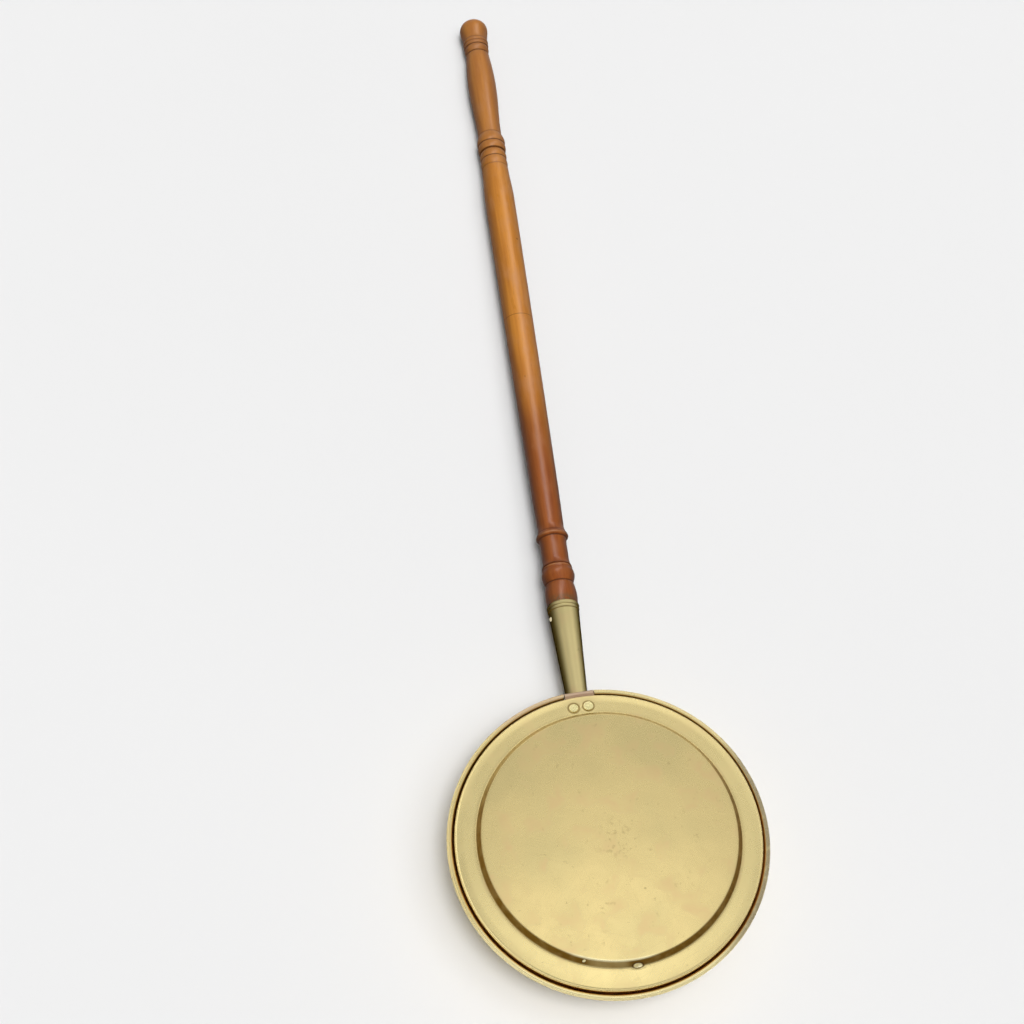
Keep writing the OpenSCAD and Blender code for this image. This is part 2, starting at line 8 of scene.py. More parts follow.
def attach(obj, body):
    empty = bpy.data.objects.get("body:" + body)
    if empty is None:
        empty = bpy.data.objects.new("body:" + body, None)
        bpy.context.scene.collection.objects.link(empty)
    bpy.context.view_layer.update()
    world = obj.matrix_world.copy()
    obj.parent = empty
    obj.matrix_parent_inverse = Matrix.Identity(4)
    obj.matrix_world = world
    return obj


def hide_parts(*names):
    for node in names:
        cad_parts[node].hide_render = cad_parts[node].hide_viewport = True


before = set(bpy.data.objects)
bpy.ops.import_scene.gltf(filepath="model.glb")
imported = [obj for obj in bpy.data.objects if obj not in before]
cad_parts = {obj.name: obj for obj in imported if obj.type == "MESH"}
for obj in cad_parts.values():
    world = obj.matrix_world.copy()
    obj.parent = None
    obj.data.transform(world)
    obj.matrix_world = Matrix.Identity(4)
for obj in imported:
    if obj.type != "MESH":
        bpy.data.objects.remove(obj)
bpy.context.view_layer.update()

# Everything below is worked out in millimetres, as in the part's source, and turned into metres last
MM = 0.001
SHEET = 1.0


def tan(degrees):
    return math.tan(math.radians(degrees))


# Rolled rim and wall of the pan
PAN_R, PAN_H, WALL_LEAN, ROLL_R = 150.0, 85.0, 18.0, 2.65
RIM_R, RIM_Z = PAN_R - ROLL_R, PAN_H - ROLL_R
WALL_TOP_R = RIM_R - (ROLL_R - SHEET) * math.cos(math.radians(WALL_LEAN))
WALL_TOP_Z = RIM_Z + (ROLL_R - SHEET) * math.sin(math.radians(WALL_LEAN))

# Lid: the gap round it, its skirt, shoulder, border and raised panel
LID_GAP = 1.7
LID_R = PAN_R - 2 * ROLL_R - LID_GAP
SHOULDER_R, SHOULDER_Z = 3.0, PAN_H + 0.8
BORDER_R = LID_R - SHOULDER_R
BORDER_W, BORDER_RISE = 17.0, 2.0
BORDER_SLOPE = math.degrees(math.atan(BORDER_RISE / BORDER_W))
PANEL_R = BORDER_R - BORDER_W
PANEL_H, PANEL_SLOPE, PANEL_BEND, PANEL_CROWN = 6.8, 58.0, 1.8, 3.5
SKIRT_GAP = WALL_TOP_R - (LID_R + (SHEET + 0.3) / math.cos(math.radians(WALL_LEAN)))
SKIRT_Z = WALL_TOP_Z - SKIRT_GAP / tan(WALL_LEAN)

# Hinge strap and rivets
HINGE_TURN = math.radians(2.7)
CUT_HALF, STRAP_SLOPE, BORE_R = 14.8, math.radians(17), 1.65
STRAP_START_Y = math.sqrt(RIM_R ** 2 - CUT_HALF ** 2) + BORE_R * math.sin(STRAP_SLOPE)
SLOT_Z = RIM_Z + BORE_R * math.cos(STRAP_SLOPE) + (STRAP_START_Y - LID_R + SHEET) * math.tan(STRAP_SLOPE) \
    + SHEET / math.cos(STRAP_SLOPE) + 0.4
RIVET_R = BORDER_R - BORDER_W / 2 - 0.6
RIVET_TURN, RIVET_SIDE = math.asin(7.1 / RIVET_R), math.radians(0.6)
# Radius and height of each rivet's head, and how deep the two stand in the sheet
RIVET_HEADS, RIVET_SUNK = ((4.85, 1.25), (4.35, 1.1)), 0.30

# Dent and nick in the near side of the panel's edge
DENT, NICK = (7.3, -122.2), (-40.6, -113.4)
# Rows of faces on the lid's top and on its underside, as lid_path takes them
TOP_ROWS, UNDER_ROWS = (5, 12, 28, 6, 4, 7, 42), (4, 6, 12, 4, 2, 4, 20)

# Line of the handle: where it leaves the wall, its dip and its small turn to the side
HANDLE_START = (-3.6, 132.001, 40.6)
HANDLE_TURN = Matrix.Rotation(math.radians(-0.19), 3, "Z") @ Matrix.Rotation(math.radians(-1.532), 3, "X")
HANDLE_SIDE, HANDLE_DIR, HANDLE_UP = (tuple(column) for column in HANDLE_TURN.col)
# Places along it: end of the ferrule, grooves of the foot, collar, grip and knob
MOUTH, FOOT_GROOVE, RIDGE, RING, RING_END, JOINT = 130.4, 154.3, 172.0, 206.4, 212.2, 481.2
COLLAR, BAND, GROOVE_1, TORUS, GRIP = 693.2, 705.6, 716.4, 727.4, 741.8
GROOVE_2, KNOB_RING, KNOB_BAND, BALL = 866.4, 876.5, 882.0, 886.8
# Grooves that get painted shade, strong and faint: place along the handle and half width
DARK_GROOVES = ((FOOT_GROOVE, 1.3), (RIDGE + 2.2, 1.1), (RING - 0.2, 1.2), (BAND, 1.2), (GROOVE_1, 2.0),
                (TORUS, 1.4), (GROOVE_2, 2.1), (KNOB_RING, 1.3))
FAINT_GROOVES = ((RING_END + 1.0, 1.6), (COLLAR + 0.4, 1.8), (GRIP, 1.6), (KNOB_BAND, 1.3), (BALL, 1.6))
# Small hole in the shaft: how far to the right of the handle's line, and how far along it
HOLE = (11.0, 584.3)

# Camera: focal length and frame in millimetres, place in metres, turn in degrees
LENS, FRAME_WIDTH = 70.3125, 36.0
CAMERA_PLACE, CAMERA_TURN = (-0.241965, -0.586046, 1.848138), (28.35954, -2.45870, -7.31759)

# Sky: its level and that of the walls that polished surfaces show; direction, power and level of its bright part
SKY_BASE, SKY_WALLS = 0.12, 2.6
SKY_BRIGHT, SKY_POWER, SKY_LEVEL = (0.087, 0.085, 0.992), 25.0, 1.40
# Direction, spread in degrees and strength of each key light
KEYS = (((0.01, -0.27, 0.96), 18.0, 1.76), ((0.25, -0.25, 0.94), 36.0, 0.88))
# Place and size in metres, turn and power of each glint, and the nodes that it falls on
WOODEN = ("lower_shaft", "upper_shaft", "grip", "end_knob")
GLINTS = (((0.33, 1.45, 1.34), (0.45, 2.00), -43.0, 27.0, WOODEN),
          ((-0.06, 0.96, 1.34), (0.34, 0.62), -43.0, 4.2, WOODEN[:1]))
# Floor as it is seen, in two tones, and as it throws light back
FLOOR, FLOOR_LIGHT, FLOOR_BOUNCE = (0.870, 0.870, 0.870), (0.882, 0.882, 0.882), (0.16, 0.155, 0.15)

# Brass: its two tones and roughness, the rubbed pale border and the painted highlight on the rim, tarnish, dirt
# and painted shade, specks, painted shade round the dent and nick, soot, painted highlights, and the painted
# light on the sides of the gap round the lid
GOLD, OLIVE, BRASS_ROUGH = (0.81, 0.65, 0.295), (0.745, 0.61, 0.28), 0.27
PALE_BORDER, PALE_RIM_HIGHLIGHT = (0.93, 0.77, 0.36), (0.99, 0.86, 0.46)
DARK, SPECK, PAINTED_DENT_SHADE = (0.19, 0.098, 0.010), (0.16, 0.095, 0.025), (0.085, 0.040, 0.008)
SOOT, PAINTED_HIGHLIGHT = (0.035, 0.026, 0.018), (0.99, 0.90, 0.55)
GAP_NEAR_PAINTED_LIT, GAP_FAR_PAINTED_SHADE = (0.94, 0.60, 0.27), (0.50, 0.30, 0.12)

# Wood, each near the pan and at the grip
LIGHT_WOOD = (0.34, 0.095, 0.018), (0.62, 0.245, 0.034)
DEEP_WOOD = (0.23, 0.056, 0.011), (0.47, 0.170, 0.024)
PATCH_WOOD = (0.33, 0.105, 0.030), (0.56, 0.25, 0.085)
# Its pores, where hands browned it, the painted highlight on its ridges and the painted shade on its sides, the
# painted shade in its grooves, and its kinds of dirt
PORE, BROWNED = (0.10, 0.035, 0.010), (0.30, 0.125, 0.050)
PALE_WOOD_HIGHLIGHT, WOOD_SIDE_SHADE = (0.62, 0.33, 0.15), (0.075, 0.018, 0.002)
GROOVE_SHADE, GRIME = (0.040, 0.014, 0.006), (0.115, 0.085, 0.040)
JOINT_DIRT, KNOCK_DIRT = (0.050, 0.016, 0.006), (0.085, 0.030, 0.010)

scene = bpy.context.scene
scene.view_settings.view_transform = "Standard"


# ---------------------------------------------------------------- camera, floor and light

def add_camera():
    data = bpy.data.cameras.new("view_camera")
    data.lens, data.sensor_width = LENS, FRAME_WIDTH
    data.clip_start = 0.05
    data.clip_end = 60.0
    cam = bpy.data.objects.new("view_camera", data)
    cam.location = CAMERA_PLACE
    cam.rotation_euler = [math.radians(a) for a in CAMERA_TURN]
    scene.collection.objects.link(cam)
    scene.camera = cam


def new_object(name, verts, faces, smooth_angle=None):
    mesh = bpy.data.meshes.new(name)
    mesh.from_pydata([(x * MM, y * MM, z * MM) for x, y, z in verts], [], faces)
    mesh.update()
    mesh.shade_smooth()
    if smooth_angle is not None:
        mesh.set_sharp_from_angle(angle=math.radians(smooth_angle))
    obj = bpy.data.objects.new(name, mesh)
    scene.collection.objects.link(obj)
    return obj


def add_sweep():
    """Pale floor that runs up into a pale wall all round, far behind the camera's view."""
    flat, bend, top, low = 7000.0, 2500.0, 5200.0, -0.6
    path = [(0.0, low), (1500.0, low), (4000.0, low)]
    path += [(flat + bend * math.sin(a), bend * (1 - math.cos(a)) + low)
             for a in (math.pi / 2 * i / 12 for i in range(13))]
    path.append((flat + bend, top))
    n = 96
    verts = [(0.0, 0.0, path[0][1])]
    for r, z in path[1:]:
        turns = [2 * math.pi * k / n for k in range(n)]
        verts += [(r * math.cos(a), r * math.sin(a), z) for a in turns]
    faces = [(0, 1 + k, 1 + (k + 1) % n) for k in range(n)]
    for ring in range(len(path) - 2):
        a, b = 1 + ring * n, 1 + (ring + 1) * n
        faces += [(a + k, b + k, b + (k + 1) % n, a + (k + 1) % n) for k in range(n)]
    sweep = new_object("studio_sweep", verts, faces)
    return sweep


def add_light():
    # Sky of a plain studio: soft and brightest overhead, dimmer towards the walls
    world = bpy.data.worlds.new("studio_sky")
    scene.world = world
    world.use_nodes = True
    tree = world.node_tree
    tree.nodes.clear()
    out = tree.nodes.new("ShaderNodeOutputWorld")
    back = tree.nodes.new("ShaderNodeBackground")
    tree.links.new(back.outputs[0], out.inputs[0])
    coord = tree.nodes.new("ShaderNodeTexCoord")

    def math_node(op, a, b):
        node = tree.nodes.new("ShaderNodeMath")
        node.operation = op
        for i, v in enumerate((a, b)):
            if isinstance(v, (int, float)):
                node.inputs[i].default_value = v
            else:
                tree.links.new(v, node.inputs[i])
        return node.outputs[0]

    dot = tree.nodes.new("ShaderNodeVectorMath")
    dot.operation = "DOT_PRODUCT"
    tree.links.new(coord.outputs["Generated"], dot.inputs[0])
    dot.inputs[1].default_value = Vector(SKY_BRIGHT).normalized()
    bright = math_node("POWER", math_node("MAXIMUM", dot.outputs["Value"], 0.0), SKY_POWER)
    total = math_node("ADD", math_node("MULTIPLY", bright, SKY_LEVEL), SKY_BASE)
    # Polished surfaces also show a ring of walls low around the room, paler on the left
    rays = tree.nodes.new("ShaderNodeLightPath").outputs
    toward = tree.nodes.new("ShaderNodeSeparateXYZ")
    tree.links.new(coord.outputs["Generated"], toward.inputs[0])
    walls = math_node("MULTIPLY", math_node("SUBTRACT", 1.0, toward.outputs[2]), SKY_WALLS)
    paler = math_node("ADD", math_node("MULTIPLY", toward.outputs[0], -0.25), 1.0)
    paler = math_node("ADD", math_node("MULTIPLY", toward.outputs[1], 0.12), paler)
    walls = math_node("MULTIPLY", walls, math_node("MAXIMUM", paler, 0.2))
    total = math_node("ADD", total, math_node("MULTIPLY", walls, rays["Is Glossy Ray"]))
    tree.links.new(total, back.inputs[0])

    for i, (direction, spread, strength) in enumerate(KEYS):
        data = bpy.data.lights.new("key_light_%d" % i, "SUN")
        data.energy = strength
        data.angle = math.radians(spread)
        key = bpy.data.objects.new(data.name, data)
        key.rotation_euler = Vector(direction).to_track_quat("Z", "Y").to_euler()
        key.visible_glossy = False
        scene.collection.objects.link(key)

    # Windows that only glint along the polished handle
    for i, (place, size, turn, power, receivers) in enumerate(GLINTS):
        data = bpy.data.lights.new("window_glint_%d" % i, "AREA")
        data.shape = "RECTANGLE"
        data.size, data.size_y = size
        data.energy = power
        glint = bpy.data.objects.new(data.name, data)
        glint.location = place
        glint.rotation_euler = (0.0, 0.0, math.radians(turn))
        glint.visible_diffuse = False
        scene.collection.objects.link(glint)
        lit = bpy.data.collections.new(data.name + "_receivers")
        for name in receivers:
            lit.objects.link(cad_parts[name])
        glint.light_linking.receiver_collection = lit


# ---------------------------------------------------------------- material helpers

class Net:
    """Nodes of one procedural material. Positions are in millimetres, from the part's own origin."""

    def __init__(self, name):
        self.mat = bpy.data.materials.new(name)
        self.mat.use_nodes = True
        self.tree = self.mat.node_tree
        self.tree.nodes.clear()
        out = self.tree.nodes.new("ShaderNodeOutputMaterial")
        self.bsdf = self.tree.nodes.new("ShaderNodeBsdfPrincipled")
        self.tree.links.new(self.bsdf.outputs[0], out.inputs[0])
        coord = self.tree.nodes.new("ShaderNodeTexCoord")
        self.pos = self.vector("SCALE", coord.outputs["Object"], scale=1000.0)
        self.normal = coord.outputs["Normal"]
        self.x, self.y, self.z = self.split(self.pos)

    def put(self, socket, value):
        if isinstance(value, bpy.types.NodeSocket):
            self.tree.links.new(value, socket)
        elif isinstance(value, (tuple, list)) and len(value) == 3 and socket.type == "RGBA":
            socket.default_value = (*value, 1.0)
        else:
            socket.default_value = value

    def node(self, kind, **props):
        node = self.tree.nodes.new(kind)
        for key, value in props.items():
            setattr(node, key, value)
        return node

    def vector(self, op, a, b=(0, 0, 0), scale=1.0):
        node = self.node("ShaderNodeVectorMath", operation=op)
        self.put(node.inputs[0], a)
        if op == "SCALE":
            self.put(node.inputs["Scale"], scale)
        elif op != "LENGTH":
            self.put(node.inputs[1], b)
        return node.outputs["Value" if op in ("DOT_PRODUCT", "LENGTH", "DISTANCE") else "Vector"]

    def split(self, v):
        node = self.node("ShaderNodeSeparateXYZ")
        self.put(node.inputs[0], v)
        return node.outputs

    def join(self, x, y, z):
        node = self.node("ShaderNodeCombineXYZ")
        for socket, value in zip(node.inputs, (x, y, z)):
            self.put(socket, value)
        return node.outputs[0]

    def math(self, op, a, b=0.0):
        node = self.node("ShaderNodeMath", operation=op)
        self.put(node.inputs[0], a)
        self.put(node.inputs[1], b)
        return node.outputs[0]

    def add(self, *values):
        total = values[0]
        for value in values[1:]:
            total = self.math("ADD", total, value)
        return total

    def mul(self, *values):
        total = values[0]
        for value in values[1:]:
            total = self.math("MULTIPLY", total, value)
        return total

    def step(self, value, low, high, to_low=0.0, to_high=1.0):
        """Smooth change of value from low to high, either way round."""
        node = self.node("ShaderNodeMapRange", interpolation_type="SMOOTHSTEP")
        for socket, v in zip(node.inputs, (value, low, high, to_low, to_high)):
            self.put(socket, v)
        return node.outputs[0]

    def near(self, value, centre, width):
        """1 at the centre, falling to 0 at the width on both sides."""
        return self.step(self.math("ABSOLUTE", self.math("SUBTRACT", value, centre)), width, 0.0)

    def mix(self, fac, a, b):
        """Colour a at 0 and colour b at 1."""
        node = self.node("ShaderNodeMix", data_type="RGBA")
        self.put(node.inputs["Factor"], fac)
        self.put(node.inputs[6], a)
        self.put(node.inputs[7], b)
        return node.outputs[2]

    def noise(self, vec, scale, detail=2.0, rough=0.5, distort=0.0):
        node = self.node("ShaderNodeTexNoise")
        self.put(node.inputs["Vector"], vec)
        self.put(node.inputs["Scale"], scale)
        self.put(node.inputs["Detail"], detail)
        self.put(node.inputs["Roughness"], rough)
        self.put(node.inputs["Distortion"], distort)
        return node.outputs[0]

    def stretched(self, vec, sizes, turn, shift):
        """Noise whose patches measure sizes along the axes of a frame turned about Z."""
        node = self.node("ShaderNodeMapping", vector_type="POINT")
        self.put(node.inputs["Vector"], vec)
        node.inputs["Rotation"].default_value = (0, 0, turn)
        node.inputs["Location"].default_value = shift
        scaled = self.vector("MULTIPLY", node.outputs[0], tuple(1.0 / s for s in sizes))
        return self.noise(scaled, 1.0, 1.0)

    def specks(self, vec, spacing, size, seed=0.0):
        """Sparse round specks: 1 inside a speck."""
        node = self.node("ShaderNodeTexVoronoi", feature="F1")
        self.put(node.inputs["Vector"], self.vector("ADD", vec, (seed, seed * 0.7, seed * 1.3)))
        self.put(node.inputs["Scale"], 1.0 / spacing)
        keep = self.step(self.split(node.outputs["Color"])[0], 0.72, 0.95)
        limit = self.mul(keep, size / spacing)
        return self.step(node.outputs["Distance"], limit, self.mul(limit, 0.45))

    def bump(self, height, distance):
        """Height of 1 is a distance in millimetres."""
        node = self.node("ShaderNodeBump")
        node.inputs["Strength"].default_value = 1.0
        node.inputs["Distance"].default_value = distance * MM
        self.put(node.inputs["Height"], height)
        return node.outputs[0]

    def finish(self, **inputs):
        for key, value in inputs.items():
            self.put(self.bsdf.inputs[key.replace("_", " ")], value)
        return self.mat

    def handle(self):
        """Place along the handle's line, and sideways and upwards from it."""
        rel = self.vector("SUBTRACT", self.pos, HANDLE_START)
        along = self.vector("DOT_PRODUCT", rel, HANDLE_DIR)
        up = self.vector("DOT_PRODUCT", rel, HANDLE_UP)
        side = self.vector("DOT_PRODUCT", rel, HANDLE_SIDE)
        return along, side, up

    def radius(self):
        return self.vector("LENGTH", self.join(self.x, self.y, 0.0))


def scratches(net):
    """Fine straight scratches in a few directions."""
    total = None
    for i, turn in enumerate((0.35, 1.25, 2.2, 2.75)):
        streaks = net.stretched(net.pos, (70.0, 0.5, 30.0), turn, (17.0 * i, 31.0 * i, 5.0 * i))
        scratch = net.step(streaks, 0.66, 0.76)
        total = scratch if total is None else net.math("MAXIMUM", total, scratch)
    return total


def brass(name, gold, olive, rough, extra=None, wear=1.0):
    """Aged brass: large patches of tone, a little pink, few specks of tarnish, fine scratches.

    extra adds what one part alone has, to the colour, the roughness and the height.
    """
    net = Net(name)
    big = net.noise(net.pos, 1 / 70.0, 2.0, 0.5)
    mid = net.noise(net.pos, 1 / 22.0, 2.0, 0.5, 0.3)
    fine = net.noise(net.pos, 1 / 2.2, 2.0, 0.5)
    colour = net.mix(net.step(big, 0.36, 0.66), gold, olive)
    pink = tuple(c * k for c, k in zip(gold, (1.0, 0.88, 0.96)))
    colour = net.mix(net.mul(net.step(mid, 0.50, 0.75), 0.50), colour, pink)
    scratch = scratches(net)
    colour = net.mix(net.mul(scratch, 0.14 * wear), colour, tuple(min(1.0, c * 1.2) for c in gold))
    spots = net.specks(net.pos, 24.0, 1.5)
    stain = net.mul(net.step(net.noise(net.pos, 1 / 8.0, 4.0, 0.65), 0.62, 0.76), 0.22 * wear)
    colour = net.mix(net.math("MAXIMUM", net.mul(spots, 0.32 * wear), stain), colour, SPECK)
    height = net.add(net.mul(mid, 0.7), net.mul(fine, 0.012), net.mul(scratch, -0.05), net.mul(spots, -0.25))
    level = net.add(net.mul(net.math("SUBTRACT", mid, 0.5), 0.14),
                    net.mul(net.math("SUBTRACT", fine, 0.5), 0.03),
                    net.mul(stain, 0.35), net.mul(scratch, 0.04), rough)
    if extra is not None:
        colour, level, height = extra(net, colour, level, height)
    normal = net.bump(height, 0.12)
    return net.finish(Base_Color=colour, Metallic=1.0, Roughness=level, Normal=normal)


# ---------------------------------------------------------------- brass parts

def gap_painted_light(net):
    """Sides of the gap round the lid, which is lit from the far side, in painted light: a reddish brass, paler
    on the near side and darker on the far side.
    """
    return net.mix(net.step(net.y, -60.0, 90.0), GAP_NEAR_PAINTED_LIT, GAP_FAR_PAINTED_SHADE)


def lid_brass():
    def extra(net, colour, level, height):
        r = net.radius()
        # Border, rubbed paler than the panel; the paleness is cut back on the near side as painted shade, and
        # also on the far side
        border = net.mul(net.step(r, PANEL_R + 0.5, PANEL_R + 4.0), net.step(net.y, 100.0, 20.0, 0.60, 1.0),
                         net.step(net.y, -80.0, -130.0, 1.0, 0.6))
        colour = net.mix(border, colour, PALE_BORDER)
        # Tarnish left by polishing on the riser of the panel, deepened with painted shade for its dark
        # reflection, lighter on the far side and thinner between the nick and the dent
        riser = net.mul(net.step(r, PANEL_R + 0.8, PANEL_R - 0.9), net.step(r, PANEL_R - 5.3, PANEL_R - 3.8))
        riser = net.mul(riser, net.step(net.y, 95.0, 20.0, 0.50, 0.99),
                        net.step(net.noise(net.pos, 1 / 9.0, 2.0), 0.30, 0.60, 0.90, 1.0))
        thin = net.mul(net.step(net.y, -100.0, -118.0), net.step(net.x, -44.0, -30.0),
                       net.step(net.x, 3.0, -6.0))
        riser = net.mul(riser, net.step(thin, 0.0, 1.0, 1.0, 0.72))
        colour = net.mix(riser, colour, DARK)
        # Skirt inside the pan, in the gap's painted light
        skirt = net.step(net.z, SHOULDER_Z - 0.8, SHOULDER_Z - 2.6)
        colour = net.mix(net.mul(skirt, 0.9), colour, gap_painted_light(net))
        # Painted highlight along the near edge of the panel, and painted highlights in the dent and nick, each
        # in a ring of painted shade
        edge = net.mul(net.near(r, PANEL_R - 4.9, 1.6), net.step(net.y, -96.0, -110.0),
                       net.step(net.x, 30.0, 12.0), net.step(net.x, -62.0, -44.0))
        colour = net.mix(net.mul(edge, 0.85), colour, PAINTED_HIGHLIGHT)
        for (px, py), (half_x, half_y), ring in ((DENT, (5.8, 2.3), 0.9), (NICK, (2.2, 1.3), 0.4)):
            at = net.vector("LENGTH", net.join(net.mul(net.math("SUBTRACT", net.x, px), 1.0 / half_x),
                                               net.mul(net.math("SUBTRACT", net.y, py), 1.0 / half_y), 0.0))
            colour = net.mix(net.step(at, 0.80, 0.55), colour, PAINTED_HIGHLIGHT)
            colour = net.mix(net.mul(net.near(at, 0.88, 0.24), ring), colour, PAINTED_DENT_SHADE)
        # Painted shade in rings round the rivets, where the sheet is drawn down
        for px, py, _ in rivet_places():
            at = net.vector("DISTANCE", net.join(net.x, net.y, 0.0), (px, py, 0.0))
            colour = net.mix(net.mul(net.near(at, 5.3, 1.5), 0.75), colour, DARK)
        # Marks at the middle of the panel
        at = net.vector("DISTANCE", net.join(net.x, net.y, 0.0), (4.0, -6.0, 0.0))
        marks = net.mul(net.step(at, 26.0, 5.0), net.step(net.noise(net.pos, 1 / 4.5, 3.0, 0.6), 0.52, 0.64))
        colour = net.mix(net.mul(marks, 0.35), colour, (0.36, 0.26, 0.11))
        # Smoked underside
        under = net.mul(net.step(net.split(net.normal)[2], -0.15, -0.5),
                        net.step(r, LID_R, PANEL_R - 6.0, 0.45, 1.0))
        smoke = net.mul(under, net.step(net.noise(net.pos, 1 / 40.0, 5.0, 0.62), 0.25, 0.70, 0.66, 0.93))
        colour = net.mix(smoke, colour, SOOT)
        level = net.add(level, net.mul(riser, 0.12), net.mul(marks, 0.08), net.mul(smoke, 0.30))
        return colour, level, height
    return brass("lid_brass", GOLD, OLIVE, BRASS_ROUGH, extra=extra)


def strap_copper():
    def extra(net, colour, level, height):
        # Painted shade where it dips under the lid, and darker along its curled edge
        r = net.radius()
        low = net.step(r, RIM_R - 0.7, RIM_R - 2.4)
        colour = net.mix(net.mul(low, 0.60), colour, (0.24, 0.14, 0.07))
        outer = net.step(r, RIM_R + 1.5, RIM_R + 2.3)
        colour = net.mix(net.mul(outer, 0.6), colour, (0.20, 0.12, 0.06))
        return colour, level, height
    return brass("strap_copper", (0.60, 0.44, 0.30), (0.53, 0.40, 0.27), 0.36, extra=extra)


def pan_brass():
    def extra(net, colour, level, height):
        # Smoked inside, from the wall's middle inwards
        r = net.radius()
        wall = net.add(WALL_TOP_R - SHEET / 2,
                       net.mul(net.math("SUBTRACT", net.z, WALL_TOP_Z), tan(WALL_LEAN)))
        inside = net.mul(net.step(net.math("SUBTRACT", r, wall), 0.3, -0.3), net.step(net.z, 0.3, 0.7))
        burnt = net.mul(net.step(net.noise(net.pos, 1 / 40.0, 5.0, 0.62), 0.25, 0.70, 0.76, 0.98),
                        net.step(net.z, 80.0, 64.0, 0.25, 1.0))
        colour = net.mix(net.mul(inside, burnt), colour, SOOT)
        # Top of the rolled rim: painted highlight on the near side, painted shade in grey on the right, pink
        # beside the strap
        top = net.mul(net.step(net.z, PAN_H - 2.4, PAN_H - 1.2), net.step(r, RIM_R - 2.4, RIM_R - 1.4))
        worn_and_highlit = net.math("MAXIMUM", net.step(net.y, -40.0, -110.0, 0.10, 0.95),
                          net.step(net.x, -20.0, 60.0, 0.0, 0.45))
        colour = net.mix(net.mul(top, worn_and_highlit), colour, PALE_RIM_HIGHLIGHT)
        right = net.mul(net.step(net.add(net.x, net.mul(net.y, -0.18)), 96.0, 134.0),
                        net.step(net.noise(net.pos, 1 / 7.0, 2.0), 0.25, 0.5, 0.65, 0.95))
        colour = net.mix(net.mul(top, right), colour, (0.40, 0.33, 0.20))
        beside = net.mul(net.step(net.y, 112.0, 130.0), net.step(net.x, 0.0, -18.0), 0.6)
        colour = net.mix(net.mul(top, beside), colour, (0.66, 0.47, 0.33))
        # Tarnish and painted shade below the roll, and the gap's painted light on its side round the lid
        roll = net.mul(net.step(net.z, PAN_H - 8.0, PAN_H - 6.0), net.step(r, RIM_R - 4.35, RIM_R - 2.35))
        low = net.mul(roll, net.step(net.z, PAN_H - 1.6, PAN_H - 4.0))
        inner = net.mul(net.step(net.z, PAN_H - 13.0, PAN_H - 7.0), net.step(r, RIM_R - 1.4, RIM_R - 2.3))
        colour = net.mix(net.mul(low, 0.85), colour, DARK)
        colour = net.mix(net.mul(inner, 0.9), colour, gap_painted_light(net))
        # Dirt that the base has picked up
        base = net.step(net.z, 22.0, 3.0)
        rub = net.step(net.noise(net.pos, 1 / 5.0, 4.0, 0.65), 0.45, 0.65)
        colour = net.mix(net.mul(base, rub, 0.45), colour, DARK)
        level = net.add(level, net.mul(inside, burnt, 0.30), net.mul(base, 0.10), net.mul(low, 0.12))
        return colour, level, height
    return brass("pan_brass", GOLD, OLIVE, BRASS_ROUGH, extra=extra)


def ferrule_brass():
    def extra(net, colour, level, height):
        along, side, up = net.handle()
        # Painted shade: both sides of the ferrule darker by their turn about the handle's line
        turn = net.math("ARCTAN2", side, up)
        right = net.step(turn, 0.35, 1.15)
        left = net.step(turn, 0.05, -1.15)
        flank_shade = net.math("MAXIMUM", net.mul(right, 0.88), net.mul(left, 0.95))
        colour = net.mix(flank_shade, colour, (0.045, 0.030, 0.004))
        colour = net.mix(net.mul(net.near(along, MOUTH - 7.6, 1.0), 0.75), colour, DARK)
        colour = net.mix(net.mul(net.near(along, MOUTH - 3.8, 0.8), 0.45), colour, DARK)
        # Brazed seam along the underside
        seam = net.near(net.math("ABSOLUTE", turn), math.pi, 0.06)
        colour = net.mix(net.mul(seam, 0.6), colour, (0.30, 0.20, 0.12))
        height = net.add(height, net.mul(seam, -0.8))
        level = net.add(level, net.mul(flank_shade, 0.12))
        return colour, level, height
    mat = brass("ferrule_brass", (0.74, 0.62, 0.30), (0.66, 0.56, 0.26), 0.38, extra=extra)
    mat.node_tree.nodes["Principled BSDF"].inputs["Specular Tint"].default_value = (0.10, 0.08, 0.03, 1.0)
    return mat


# ---------------------------------------------------------------- wood

